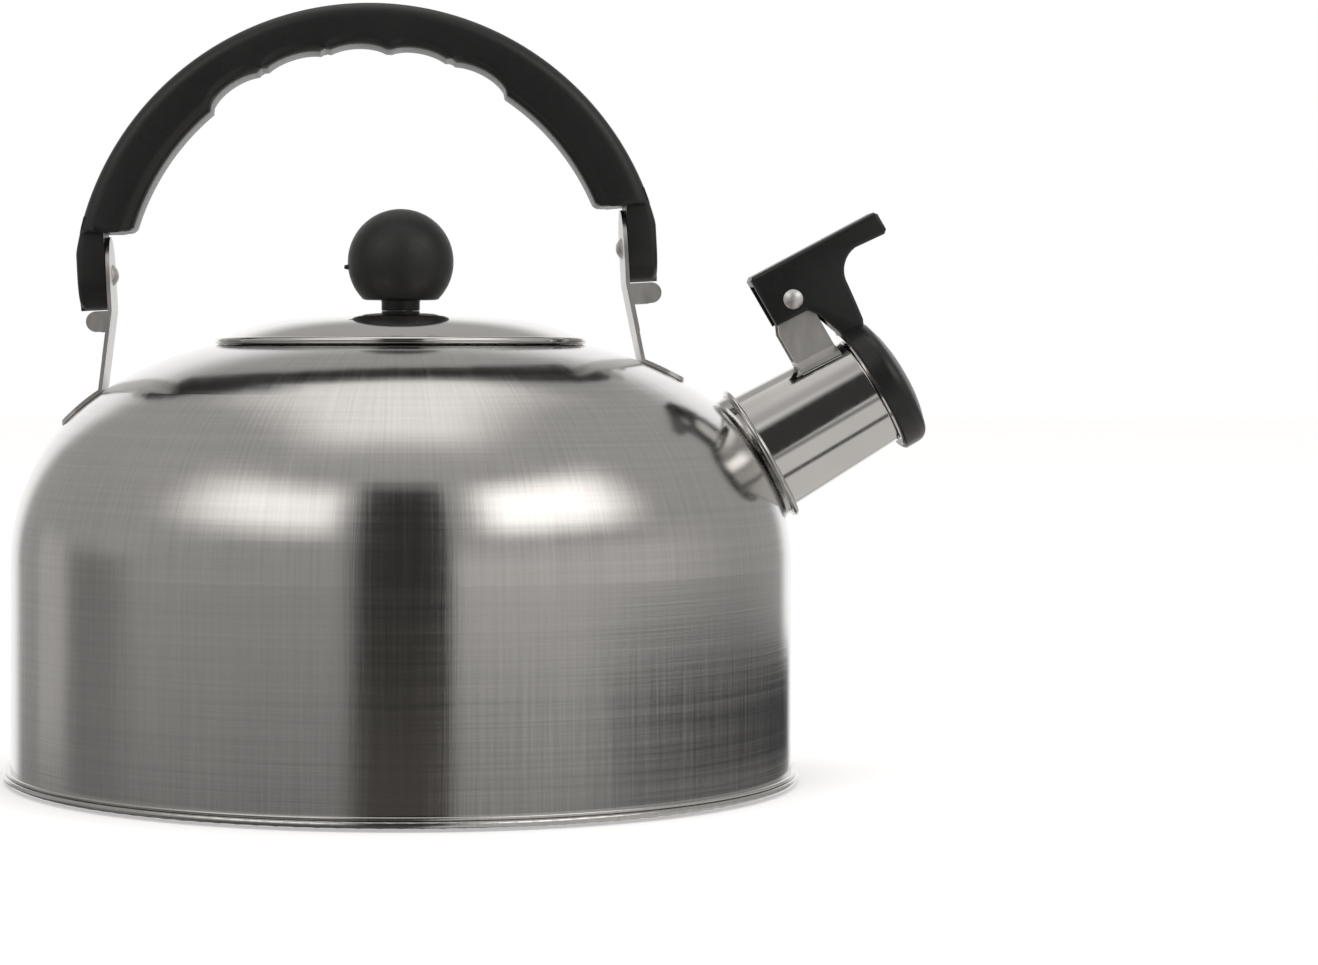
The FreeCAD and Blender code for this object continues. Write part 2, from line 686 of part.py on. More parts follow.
def make_handle():
    """The bail is built about the centre of its arc, grip_centre below the pivot axis."""

    def up(height):
        return f"({height} + grip_centre)"

    join_z = f"sqrt(pow(grip_outer; 2) - pow({LEG_OUTER}; 2))"
    step_x = f"sqrt(pow(grip_outer; 2) - pow({up(STEP)}; 2))"
    handle = new_body("handle_grip")
    bow = handle.newObject("PartDesign::Revolution", "handle_bow")
    section = rounded_box("-grip_width / 2", "grip_width / 2", "grip_inner", "grip_outer", "grip_round")
    bow.Profile = draw(handle, "YZ_Plane", section)
    bow.ReferenceAxis = (bow.Profile[0], ["H_Axis"])
    bow.Midplane = True
    bind(bow, Angle="bow_turn")
    pocketed(handle, "XZ_Plane", [
        ("-2 * grip_outer", "-grip_outer"), ("2 * grip_outer", "-grip_outer"),
        ("2 * grip_outer", up(STEP)), ("-2 * grip_outer", up(STEP)),
    ], "2 * grip_width")
    for side in (1, -1):
        pad(handle, "XZ_Plane", [
            (f"{side} * {LEG_INNER}", up(f"-{LEG_END}")),
            (f"{side} * {LEG_OUTER}", up(f"-{LEG_END}")),
            (f"{side} * {LEG_OUTER}", join_z, f"{side} * grip_outer"),
            (f"{side} * {step_x}", up(STEP)),
            (f"{side} * {LEG_INNER}", up(STEP)),
        ], "leg_width")
    pocketed(handle, "YZ_Plane", [
        (LEG_END, up("0"), f"-{LEG_END}"), ("0", up(f"-{LEG_END}"), f"-{LEG_END}"),
        (f"-{LEG_END}", up("0")), ("-grip_width", up("0")),
        ("-grip_width", up("-grip_width")), ("grip_width", up("-grip_width")), ("grip_width", up("0")),
    ], "4 * grip_outer")
    for number in range(int(size("scallops"))):
        turn = math.radians(size("scallop_pitch") * (number - (size("scallops") - 1) / 2))
        reach = size("scallop_valley - scallop_radius")
        spot = Vector(reach * math.sin(turn), size("grip_width"), reach * math.cos(turn))
        primitive(handle, "SubtractiveCylinder", spot, ALONG_Y, Radius="scallop_radius",
                  Height="2 * grip_width")
    for side in (1, -1):
        outward = Rotation(Vector(0, 1, 0), 90 * side)
        for start, radius in (("pivot_reach", "rivet_radius + running"),
                              (f"pivot_reach + {RECESS_FLOOR}", "recess_radius")):
            spot = Vector(side * size(start), 0, size("grip_centre"))
            primitive(handle, "SubtractiveCylinder", spot, outward, Radius=radius, Height="2 * leg_thick")
    handle.Placement = handle_frame().multiply(Placement(Vector(0, 0, -size("grip_centre")), UPRIGHT))
    return handle


def make_ear(label, side, splay, wing):
    """A bent strip: eye, fold wings, stiffening rib, and a foot turned outward along the shoulder."""
    lean = f"tan({splay})"
    bend, drop = WING_TOP, f"(pivot_z - {TURN_Z} + foot_sink)"

    def strip_x(down):
        return f"(pivot_reach + (({down}) - {bend}) * {lean})"

    strip = padded(f"{label}_strip", "XZ_Plane", [
        ("pivot_reach", "ear_width / 2"),
        ("pivot_reach", f"-{bend}"),
        (strip_x(drop), f"-{drop}"),
        (f"{strip_x(drop)} + ear_sheet", f"-{drop}"),
        ("pivot_reach + ear_sheet", f"-{bend}"),
        ("pivot_reach + ear_sheet", "ear_width / 2"),
    ], "ear_width")
    pocketed(strip, "YZ_Plane", [
        ("ear_width / 2", "0", "ear_width / 2"), ("0", "ear_width / 2", "ear_width / 2"),
        ("-ear_width / 2", "0"), ("-ear_width", "0"), ("-ear_width", "ear_width"),
        ("ear_width", "ear_width"), ("ear_width", "0"),
    ], "4 * pivot_reach")
    primitive(strip, "SubtractiveCylinder", Vector(0, 0, 0), ALONG_X, Radius="rivet_radius + seat / 2",
              Height="2 * pivot_reach")

    low = f"({bend} + wing_height)"
    tip = f"(pivot_reach + ear_sheet + {wing})"
    wings = padded(f"{label}_wings", "XZ_Plane", [
        ("pivot_reach + ear_sheet / 2", f"-{bend}"),
        (f"{strip_x(low)} + ear_sheet / 2", f"-{low}"),
        (f"{tip} - wing_height / 2", f"-{low}", "wing_height / 2"),
        (tip, f"-{low} + wing_height / 2", "wing_height / 2"),
        (f"{tip} - wing_height / 2", f"-{bend}"),
    ], "ear_width")
    pocketed(wings, "XZ_Plane", [
        ("pivot_reach - beyond", "0"), ("pivot_reach - beyond", "-ear_width"),
        ("pivot_reach + ear_width", "-ear_width"), ("pivot_reach + ear_width", "0"),
    ], "ear_width - 2 * ear_sheet")

    def rib_x(down, proud):
        return f"{strip_x(down)} + ear_sheet / 2 + ({proud}) * (ear_sheet / 2 + rib_proud)"

    rib = padded(f"{label}_rib", "XZ_Plane", [
        (rib_x("rib_start", "0"), "-rib_start"),
        (rib_x("rib_end", "0"), "-rib_end"),
        (rib_x("rib_end - rib_proud", "1"), "-(rib_end - rib_proud)"),
        (rib_x("rib_start + rib_proud", "1"), "-(rib_start + rib_proud)"),
    ], "rib_width")

    heel = f"({strip_x(f'({drop} - ear_foot)')} + ear_sheet / 3)"
    toe = f"({strip_x(drop)} + ear_foot)"
    plan = padded(f"{label}_plan", "XY_Plane", [
        (heel, "-ear_width / 2"),
        (f"{toe} - foot_round", "-ear_width / 2", "foot_round"),
        (toe, "-ear_width / 2 + foot_round"),
        (toe, "ear_width / 2 - foot_round", "foot_round"),
        (f"{toe} - foot_round", "ear_width / 2"),
        (heel, "ear_width / 2"),
    ], "3 * pivot_reach")
    for piece in (strip, wings, rib, plan):
        piece.Placement = handle_frame(side)

    upper = body_form(f"{label}_upper_skin", "-(2 * seat + ear_sheet)", "shoulder_start / 2")
    lower = body_form(f"{label}_lower_skin", "-2 * seat", "0")
    layer = join("Common", f"{label}_layer", upper, plan)
    winged = join("Fuse", f"{label}_winged", strip, wings)
    ribbed = join("Fuse", f"{label}_ribbed", winged, rib)
    standing = join("Fuse", f"{label}_standing", ribbed, layer)
    return join("Cut", label, standing, lower)


def make_rivet(name, side):
    washer_start = f"({RECESS_FLOOR} + running)"
    washer_end = f"({washer_start} + washer_thick)"
    inside = "((pow(rivet_head; 2) + pow(rivet_dome; 2)) / (2 * rivet_dome))"
    outside = "((pow(peen_radius; 2) + pow(peen_height; 2)) / (2 * peen_height))"
    rivet = turned(f"rivet_{name}", [
        ("0", "-rivet_dome", inside),
        ("rivet_head", "0"),
        ("rivet_radius", "0"),
        ("rivet_radius", washer_end),
        ("peen_radius", washer_end, outside),
        ("0", f"{washer_end} + peen_height"),
    ])
    washer = turned(f"washer_{name}", [
        ("rivet_radius + seat", washer_start), ("washer_radius", washer_start),
        ("washer_radius", washer_end), ("rivet_radius + seat", washer_end),
    ])
    eye = Placement(Vector(size("pivot_reach"), 0, 0), ALONG_X)
    for piece in (rivet, washer):
        piece.Placement = handle_frame(side).multiply(eye)
    return [rivet, washer]


# ---------------------------------------------------------------- lid and knob


def lid_underside(radius):
    return f"({LID_EDGE_Z} + sqrt(pow(lid_edge - lid_sheet; 2) - pow(({radius}) - {LID_EDGE_X}; 2)))"


def make_lid_shell():
    inner = "(lid_edge - lid_sheet) / lid_edge"
    flat = "(lid_flat - lid_sheet * sin(lid_slope))"
    dome = spun("lid_dome", [
        ("0", f"{LID_TOP} - lid_sheet", f"-({LID_TOP_RADIUS} - lid_sheet)"),
        (flat, lid_underside(flat), "-(lid_edge - lid_sheet)"),
        (f"{LID_EDGE_X} + ({LID_RIM} - {LID_EDGE_X}) * {inner}",
         f"{LID_EDGE_Z} + ({LID_RIM_Z} - {LID_EDGE_Z}) * {inner}"),
        (LID_RIM, LID_RIM_Z, "lid_edge"),
        ("lid_flat", f"{LID_EDGE_Z} + lid_edge * cos(lid_slope)", LID_TOP_RADIUS),
        ("0", LID_TOP),
    ])
    ring = Placement(Vector(0, 0, size(LID_RING_Z)), UPRIGHT)
    bead = torus("lid_rolled_rim", ring, LID_RING, "lid_bead")
    below = Placement(Vector(0, 0, size(WASHER_FOOT)), UPRIGHT)
    hole = cylinder("lid_hole", below, "screw_radius + 2 * seat", "knob_radius")
    return join("Cut", "lid_shell", join("Fuse", "lid_rimmed", dome, bead), hole)


def make_lid_skirt():
    wall_top = f"({lid_underside(SKIRT_RADIUS)} - seat)"
    flange_top = f"({lid_underside('skirt_flange')} - seat)"
    foot = f"({LID_SEAT} - skirt_depth)"
    return turned("lid_skirt", [
        (f"{SKIRT_RADIUS} - lid_sheet", foot),
        (SKIRT_RADIUS, foot),
        (SKIRT_RADIUS, wall_top),
        ("skirt_flange", flange_top),
        ("skirt_flange", f"{flange_top} - lid_sheet"),
        (f"{SKIRT_RADIUS} - lid_sheet", f"{wall_top} - skirt_corner"),
    ])


def make_knob():
    bore_top = f"({KNOB_FOOT} + insert_length + seat)"
    return turned("knob", [
        ("insert_radius", KNOB_FOOT),
        ("boss_radius", KNOB_FOOT),
        ("boss_radius", KNOB_FLAT_Z),
        ("knob_flat", KNOB_FLAT_Z, "knob_radius"),
        ("knob_radius", KNOB_CENTRE, "knob_radius"),
        ("0", f"{KNOB_CENTRE} + knob_radius"),
        ("0", bore_top),
        ("insert_radius", bore_top),
    ])


def make_knob_fixing():
    groove = f"({KNOB_FOOT} + insert_length / 2)"
    outer, waist = "(insert_radius - seat / 2)", "(insert_radius - insert_groove)"
    thread = "(screw_radius + seat / 2)"
    insert = turned("knob_insert", [
        (thread, f"{KNOB_FOOT} + seat"),
        (outer, f"{KNOB_FOOT} + seat"),
        (outer, f"{groove} - 2 * insert_groove"),
        (waist, f"{groove} - insert_groove"),
        (waist, f"{groove} + insert_groove"),
        (outer, f"{groove} + 2 * insert_groove"),
        (outer, f"{KNOB_FOOT} + insert_length"),
        (thread, f"{KNOB_FOOT} + insert_length"),
    ])
    washer = turned("knob_washer", [
        ("screw_radius + seat", WASHER_FOOT), ("knob_washer_radius", WASHER_FOOT),
        ("knob_washer_radius", WASHER_TOP), ("screw_radius + seat", WASHER_TOP),
    ])
    face = f"({WASHER_FOOT} - screw_head_height)"
    screw = turned("knob_screw", [
        ("0", face),
        ("screw_head - screw_edge", face, "screw_edge_radius"),
        ("screw_head", f"{face} + screw_edge"),
        ("screw_head", WASHER_FOOT),
        ("screw_radius", WASHER_FOOT),
        ("screw_radius", f"{WASHER_FOOT} + screw_length - screw_point"),
        ("screw_radius - screw_point", f"{WASHER_FOOT} + screw_length"),
        ("0", f"{WASHER_FOOT} + screw_length"),
    ])
    corner = Vector(-size("screw_head"), -size("screw_slot") / 2, size(f"{face} - beyond"))
    primitive(screw, "SubtractiveBox", corner, UPRIGHT, Length="2 * screw_head", Width="screw_slot",
              Height="beyond + screw_head_height / 2")
    return [insert, washer, screw]


nodes = [
    make_body_shell(), make_base_plate(),
    make_spout_tube(), make_spout_bracket(), make_hinge_pin(), make_cap_spring(),
    make_cap_lever(), *make_whistle(),
    make_handle(),
    make_ear("ear_spout_side", 1, "spout_ear_splay", "spout_wing"),
    make_ear("ear_far_side", -1, "far_ear_splay", "far_wing"),
    *make_rivet("spout_side", 1), *make_rivet("far_side", -1),
    make_lid_shell(), make_lid_skirt(), make_knob(), *make_knob_fixing(),
]
doc.recompute()

faults = [thing.Label for thing in doc.Objects if {"Invalid", "Error"} & set(thing.State)]
faults += [node.Label for node in nodes if node.Shape.isNull() or not node.Shape.isValid()]
faults += [node.Label for node in nodes if len(node.Shape.Solids) != 1]
if faults:
    raise RuntimeError(f"these did not build: {sorted(set(faults))}")
for node in nodes:
    node.Shape.exportStep(f"parts/{node.Label}.step")
    box = node.Shape.BoundBox
    print(f"{node.Label:18s} {node.Shape.Volume:10.1f} mm3  x {box.XMin:7.1f} {box.XMax:7.1f}"
          f"  y {box.YMin:6.1f} {box.YMax:6.1f}  z {box.ZMin:6.1f} {box.ZMax:6.1f}")
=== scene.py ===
import json
import math

import bpy
from mathutils import Matrix, Vector


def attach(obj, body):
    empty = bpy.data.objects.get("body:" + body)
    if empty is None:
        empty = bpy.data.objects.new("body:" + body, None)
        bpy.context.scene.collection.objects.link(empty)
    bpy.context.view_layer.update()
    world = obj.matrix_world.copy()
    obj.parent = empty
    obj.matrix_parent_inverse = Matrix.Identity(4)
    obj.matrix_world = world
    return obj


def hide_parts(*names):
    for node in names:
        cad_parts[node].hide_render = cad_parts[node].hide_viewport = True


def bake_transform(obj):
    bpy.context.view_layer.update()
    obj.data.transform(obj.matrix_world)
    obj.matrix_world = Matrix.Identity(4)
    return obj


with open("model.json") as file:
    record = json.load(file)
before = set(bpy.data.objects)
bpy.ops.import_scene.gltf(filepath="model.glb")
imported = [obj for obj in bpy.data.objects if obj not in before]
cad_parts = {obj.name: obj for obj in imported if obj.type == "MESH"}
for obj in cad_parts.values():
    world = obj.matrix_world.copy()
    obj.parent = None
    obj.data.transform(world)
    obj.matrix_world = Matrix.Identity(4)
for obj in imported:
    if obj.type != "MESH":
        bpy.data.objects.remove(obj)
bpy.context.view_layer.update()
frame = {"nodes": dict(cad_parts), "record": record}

nodes = frame["nodes"]

# ---------------------------------------------------------------- finishes


class Nodes:
    """A node tree, and the steps that the finishes and the room are made with."""

    def __init__(self, tree):
        self.tree = tree

    def node(self, kind, links=(), settings=(), **numbers):
        made = self.tree.nodes.new(kind)
        for setting, choice in dict(settings).items():
            setattr(made, setting, choice)
        for socket, number in numbers.items():
            made.inputs[socket.replace("_", " ")].default_value = number
        for socket, source in dict(links).items():
            self.tree.links.new(source, made.inputs[socket])
        return made

    def math(self, operation, first, second=0.0):
        made = self.node("ShaderNodeMath", (), {"operation": operation})
        for socket, value in enumerate((first, second)):
            if isinstance(value, (int, float)):
                made.inputs[socket].default_value = value
            else:
                self.tree.links.new(value, made.inputs[socket])
        return made.outputs[0]

    def ramp(self, factor, *stops):
        """A colour ramp with a grey number or a colour at each place."""
        made = self.node("ShaderNodeValToRGB", {"Fac": factor})
        elements = made.color_ramp.elements
        elements[0].position, elements[1].position = stops[0][0], stops[-1][0]
        for place, _ in stops[1:-1]:
            elements.new(place)
        for element, (_, shade) in zip(elements, stops):
            colour = shade if isinstance(shade, tuple) else (shade, shade, shade)
            element.color = (*colour, 1)
        return made.outputs["Color"]


class Finish(Nodes):
    """A node material, whose patterns read Object coordinates."""

    def __init__(self, name, **sockets):
        self.material = bpy.data.materials.new(name)
        self.material.use_nodes = True
        super().__init__(self.material.node_tree)
        self.shader = self.tree.nodes["Principled BSDF"]
        for socket, number in sockets.items():
            self.shader.inputs[socket.replace("_", " ")].default_value = number
        self.place = self.node("ShaderNodeTexCoord").outputs["Object"]

    def stretched(self, scale, vector=None):
        """A vector scaled by an amount along each axis, which is the place unless another is given."""
        mapping = self.node("ShaderNodeMapping", {"Vector": vector or self.place}, Scale=scale)
        return mapping.outputs["Vector"]

    def around(self):
        """Height, angle and radius about the kettle's own axis, as X, Y and Z."""
        parts = self.node("ShaderNodeSeparateXYZ", {"Vector": self.place})
        angle = self.math("ARCTAN2", parts.outputs["Y"], parts.outputs["X"])
        flat = self.node("ShaderNodeVectorMath", {0: self.place}, {"operation": "MULTIPLY"})
        flat.inputs[1].default_value = (1, 1, 0)
        radius = self.node("ShaderNodeVectorMath", {0: flat.outputs[0]}, {"operation": "LENGTH"})
        return self.node("ShaderNodeCombineXYZ", {"X": parts.outputs["Z"], "Y": angle,
                                                  "Z": radius.outputs["Value"]}).outputs[0]

    def noise(self, vector, detail=4.0, roughness=0.6):
        return self.node("ShaderNodeTexNoise", {"Vector": vector}, Scale=1.0, Detail=detail,
                         Roughness=roughness).outputs["Fac"]

    def give(self, socket, source):
        self.tree.links.new(source, self.shader.inputs[socket])

    def bump(self, height, strength, distance=0.0002):
        raised = self.node("ShaderNodeBump", {"Height": height}, Strength=strength, Distance=distance)
        self.give("Normal", raised.outputs["Normal"])


def brushed_steel():
    """Spun stainless sheet: faint rings from the lathe, and short upright scratches on the wall."""
    steel = Finish("brushed_steel_sheet", Metallic=1.0)
    around = steel.around()
    rings = steel.noise(steel.stretched((900, 0.8, 900), around), 4, 0.7)
    strokes = steel.noise(steel.stretched((24, 110, 24), around), 5, 0.7)
    clouds = steel.noise(steel.stretched((14, 14, 9)), 3)
    marked = steel.math("ADD", steel.math("MULTIPLY", rings, 0.45), steel.math("MULTIPLY", strokes, 0.55))
    shade = steel.math("ADD", steel.math("MULTIPLY", marked, 0.75), steel.math("MULTIPLY", clouds, 0.25))
    steel.give("Base Color", steel.ramp(shade, (0.34, (0.455, 0.45, 0.44)), (0.66, (0.615, 0.605, 0.59))))
    steel.give("Roughness", steel.ramp(marked, (0.35, 0.1), (0.65, 0.17)))
    steel.bump(marked, 0.08)
    return steel.material


def polished_steel():
    """Buffed sheet with faint swirls and slight waves."""
    steel = Finish("polished_steel", Metallic=1.0)
    waves = steel.noise(steel.stretched((40, 40, 40)), 2)
    swirls = steel.noise(steel.stretched((900, 900, 240)), 4, 0.7)
    steel.give("Base Color", steel.ramp(waves, (0.3, (0.63, 0.62, 0.605)), (0.7, (0.68, 0.67, 0.655))))
    steel.give("Roughness", steel.ramp(swirls, (0.35, 0.05), (0.7, 0.11)))
    steel.bump(waves, 0.05, 0.0003)
    return steel.material


def satin_steel():
    """Pressed sheet that was only tumbled: soft reflections and a faint grain along the strip."""
    steel = Finish("satin_steel", Metallic=1.0)
    grain = steel.noise(steel.stretched((500, 900, 120)), 4, 0.7)
    clouds = steel.noise(steel.stretched((70, 70, 70)), 2)
    steel.give("Base Color", steel.ramp(clouds, (0.3, (0.70, 0.69, 0.675)), (0.7, (0.77, 0.76, 0.745))))
    steel.give("Roughness", steel.ramp(grain, (0.3, 0.34), (0.7, 0.46)))
    steel.bump(grain, 0.05)
    return steel.material


def black_phenolic(name, grain, rough, grey):
    """Pressed phenolic: near black, with a fine pebbled skin and a little flow marking."""
    plastic = Finish(name, Specular_IOR_Level=0.45)
    pebbles = plastic.noise(plastic.stretched((1500, 1500, 1500)), 3)
    flow = plastic.noise(plastic.stretched((60, 60, 30)))
    pale = (grey * 1.5, grey * 1.5, grey * 1.52)
    plastic.give("Base Color", plastic.ramp(flow, (0.3, grey), (0.75, pale)))
    plastic.give("Roughness", plastic.ramp(pebbles, (0.3, rough - 0.05), (0.7, rough + 0.07)))
    plastic.bump(pebbles, grain)
    return plastic.material


def turned_brass():
    """Brass bar with fine rings from the lathe."""
    brass = Finish("turned_brass", Metallic=1.0)
    rings = brass.noise(brass.stretched((3000, 0.4, 3000), brass.around()), 3)
    brass.give("Base Color", brass.ramp(rings, (0.3, (0.66, 0.47, 0.2)), (0.7, (0.75, 0.56, 0.27))))
    brass.give("Roughness", brass.ramp(rings, (0.3, 0.2), (0.7, 0.34)))
    return brass.material


POLISHED = polished_steel()
SATIN = satin_steel()
HANDLE_BLACK = black_phenolic("handle_phenolic", 0.10, 0.36, 0.010)
KNOB_BLACK = black_phenolic("knob_phenolic", 0.25, 0.46, 0.014)
CAP_BLACK = black_phenolic("cap_phenolic", 0.08, 0.32, 0.009)

FINISHES = {"brushed_steel": brushed_steel(), "polished_steel": POLISHED, "handle_black": HANDLE_BLACK,
            "knob_black": KNOB_BLACK, "cap_black": CAP_BLACK, "brass": turned_brass()}
# the small steel pieces that are only tumbled
TUMBLED = ("ear_spout_side", "ear_far_side", "spout_bracket", "hinge_pin", "rivet_spout_side",
           "rivet_far_side")
for subpart in frame["record"]["subparts"]:
    node = nodes[subpart["node"]]
    node.data.materials.clear()
    node.data.materials.append(SATIN if subpart["node"] in TUMBLED else FINISHES[subpart["material_slot"]])

# ---------------------------------------------------------------- modelling helpers


def pick(kind, test):
    """Selects the vertices, edges or faces of the piece in edit mode whose middle and direction pass."""
    bpy.ops.mesh.select_mode(type=kind)
    bpy.ops.mesh.select_all(action="DESELECT")
    bpy.ops.object.mode_set(mode="OBJECT")
    mesh = bpy.context.object.data
    for vertex in mesh.vertices if kind == "VERT" else ():
        vertex.select = test(vertex.co, vertex.normal)
    for edge in mesh.edges if kind == "EDGE" else ():
        start, end = (mesh.vertices[i].co for i in edge.vertices)
        edge.select = test((start + end) / 2, end - start)
    for face in mesh.polygons if kind == "FACE" else ():
        face.select = test(face.center, face.normal)
    bpy.ops.object.mode_set(mode="EDIT")


def begin(name):
    """Names the active piece and opens it for editing."""
    piece = bpy.context.object
    piece.name = piece.data.name = name
    bpy.ops.object.mode_set(mode="EDIT")
    return piece


def join_solid(piece, tool, operation="UNION"):
    """Joins the tool to the piece, or cuts with it, and takes the tool away."""
    modifier = piece.modifiers.new("boolean", "BOOLEAN")
    modifier.object, modifier.operation, modifier.solver = tool, operation, "MANIFOLD"
    bpy.context.view_layer.objects.active = piece
    bpy.ops.object.modifier_apply(modifier=modifier.name)
    bpy.data.objects.remove(tool)


def settle(piece, angle=32):
    """Leaves edit mode, turns every face outward, smooths, and puts the piece's place in its mesh."""
    if bpy.context.mode != "OBJECT":
        bpy.ops.mesh.select_all(action="SELECT")
        bpy.ops.mesh.remove_doubles(threshold=1e-6)
        bpy.ops.mesh.normals_make_consistent(inside=False)
        bpy.ops.object.mode_set(mode="OBJECT")
        if sum(face.area * face.normal.dot(face.center) for face in piece.data.polygons) < 0:
            bpy.ops.object.mode_set(mode="EDIT")
            bpy.ops.mesh.flip_normals()
            bpy.ops.object.mode_set(mode="OBJECT")
    bpy.ops.object.select_all(action="DESELECT")
    piece.select_set(True)
    bpy.context.view_layer.objects.active = piece
    bpy.ops.object.transform_apply(location=True, rotation=True, scale=True)
    bpy.ops.object.shade_smooth_by_angle(angle=math.radians(angle))
    bpy.ops.object.select_all(action="DESELECT")


def dress(piece, finish, body, replaced):
    """Gives a modelled piece its finish and the body of the node that it stands for, and hides that node.
    """
    piece.data.materials.clear()
    piece.data.materials.append(finish)
    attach(piece, body)
    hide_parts(replaced)


def set_in(piece, place, tilt):
    """Puts a piece modelled at the origin into its place, tilted about Y by some degrees."""
    piece.rotation_euler = Matrix.Rotation(math.radians(-tilt), 3, "Y").to_euler()
    piece.location = place


# ---------------------------------------------------------------- handle

# The pivot axis leans with the handle, and the bail is an arc about a centre a little below it.
PIVOT = Vector((-0.0078, 0, 0.1201))
HANDLE_TILT = 3.0
ARC_DROP = 0.0089
BAIL_OUTER, BAIL_INNER, BAIL_WIDTH, BAIL_ROUND = 0.069, 0.057, 0.019, 0.0032
BAIL_SWEEP = 164
FINGER_SPACING, FINGER_DEPTH, FINGER_REACH = 14.6, 0.0024, 0.0079
STEP_HEIGHT, STEP_ROUND = 0.0098, 0.0012
LEG_INNER, LEG_OUTER, LEG_WIDTH, LEG_ROUND = 0.0607, 0.0674, 0.016, 0.0016
LEG_TOP = STEP_HEIGHT + 0.004
LEG_BENDS = (0.005, 0.0062, 0.0074, 0.0086, STEP_HEIGHT)
# where the rivet's bore and the washer's recess start, and their radii
LEG_BORES = ((0.0596, 0.00208), (0.0650, 0.005))
BORE_DEPTH = 0.02


def make_bail():
    """The grip's arc with its finger hollows, its two legs, and the bores for the rivets."""
    bpy.ops.mesh.primitive_plane_add(size=1)
    bail = begin("handle_bail")
    bpy.ops.transform.resize(value=(BAIL_OUTER - BAIL_INNER, BAIL_WIDTH, 1))
    bpy.ops.transform.translate(value=(-(BAIL_OUTER + BAIL_INNER) / 2, 0, 0))
    bpy.ops.mesh.bevel(affect="VERTICES", offset=BAIL_ROUND, segments=6)
    bpy.ops.transform.rotate(value=math.radians(-(180 - BAIL_SWEEP) / 2), orient_axis="Y",
                             center_override=(0, 0, 0))
    bpy.ops.mesh.spin(steps=BAIL_SWEEP, angle=math.radians(BAIL_SWEEP), center=(0, 0, 0), axis=(0, -1, 0))
    for finger in range(-2, 3):
        turn = math.radians(FINGER_SPACING * finger)
        heading = Vector((math.sin(turn), 0, math.cos(turn)))
        pick("VERT", lambda place, _: math.hypot(place.x, place.z) < BAIL_INNER + 0.0001
             and abs(math.atan2(place.x, place.z) - turn) < math.radians(0.6))
        bpy.ops.transform.translate(value=heading * FINGER_DEPTH, use_proportional_edit=True,
                                    proportional_edit_falloff="SPHERE", proportional_size=FINGER_REACH)
    # the underside of both ends is cut level, above the ears
    step = STEP_HEIGHT + ARC_DROP
    bpy.ops.mesh.select_all(action="SELECT")
    bpy.ops.mesh.bisect(plane_co=(0, 0, step), plane_no=(0, 0, 1), clear_inner=True, use_fill=True)
    pick("EDGE", lambda middle, along: abs(middle.z - step) < 1e-5 and abs(along.normalized().z) < 0.1)
    bpy.ops.mesh.bevel(offset=STEP_ROUND, segments=4)
    settle(bail)
    for side in (1, -1):
        join_solid(bail, make_leg(side))
    for side in (1, -1):
        for start, radius in LEG_BORES:
            bpy.ops.mesh.primitive_cylinder_add(
                vertices=48, radius=radius, depth=BORE_DEPTH, rotation=(0, math.pi / 2, 0),
                location=(side * (start + BORE_DEPTH / 2), 0, ARC_DROP))
            join_solid(bail, bpy.context.object, "DIFFERENCE")
    leaning = Matrix.Rotation(math.radians(-HANDLE_TILT), 3, "Y")
    set_in(bail, PIVOT - leaning @ Vector((0, 0, ARC_DROP)), HANDLE_TILT)
    settle(bail)
    return bail


def make_leg(side):
    """One leg, from its rounded foot up into the bail."""
    thick, low = LEG_OUTER - LEG_INNER, -LEG_WIDTH / 2
    bpy.ops.mesh.primitive_cube_add(size=1, location=(0, 0, 0))
    leg = begin("handle_leg")
    bpy.ops.transform.resize(value=(thick, LEG_WIDTH, LEG_TOP - low))
    middle = (LEG_INNER + LEG_OUTER) / 2
    bpy.ops.transform.translate(value=(side * middle, 0, (LEG_TOP + low) / 2 + ARC_DROP))
    # the foot is a half round, and the outer face leans in to meet the bail's arc
    pick("EDGE", lambda place, along: place.z < low + ARC_DROP + 1e-5 and abs(along.normalized().x) > 0.9)
    bpy.ops.mesh.bevel(offset=LEG_WIDTH / 2 - 1e-4, segments=16)
    for height in LEG_BENDS:
        bpy.ops.mesh.select_all(action="SELECT")
        bpy.ops.mesh.bisect(plane_co=(0, 0, height + ARC_DROP), plane_no=(0, 0, 1))
    for height in (*LEG_BENDS, LEG_TOP):
        on_arc = math.sqrt(BAIL_OUTER ** 2 - (height + ARC_DROP) ** 2)
        pick("VERT", lambda place, _: abs(place.z - height - ARC_DROP) < 1e-5
             and abs(place.x) > LEG_OUTER - 1e-4)
        bpy.ops.transform.translate(value=(side * min(on_arc - 0.0001 - LEG_OUTER, 0), 0, 0))
    pick("EDGE", lambda place, along: abs(place.x) > LEG_INNER + 0.8 * thick
         and abs(along.normalized().x) < 0.5 and abs(along.normalized().y) < 0.98
         and (abs(place.y) > LEG_WIDTH / 2 - 1e-4 or place.z < ARC_DROP))
    bpy.ops.mesh.bevel(offset=LEG_ROUND, segments=4)
    settle(leg)
    return leg


dress(make_bail(), HANDLE_BLACK, "handle", "handle_grip")

# ---------------------------------------------------------------- knob

KNOB_CENTRE = Vector((0, 0, 0.12017))
KNOB_RADIUS, KNOB_FLAT, BOSS_RADIUS, INSERT_RADIUS = 0.0124, 0.0086, 0.0045, 0.003
BOSS_HEIGHT, INSERT_DEPTH = 0.0025, 0.00905
GATE_DROP, GATE_FOOT, GATE_TIP, GATE_LENGTH = 0.0012, 0.0009, 0.0004, 0.0018


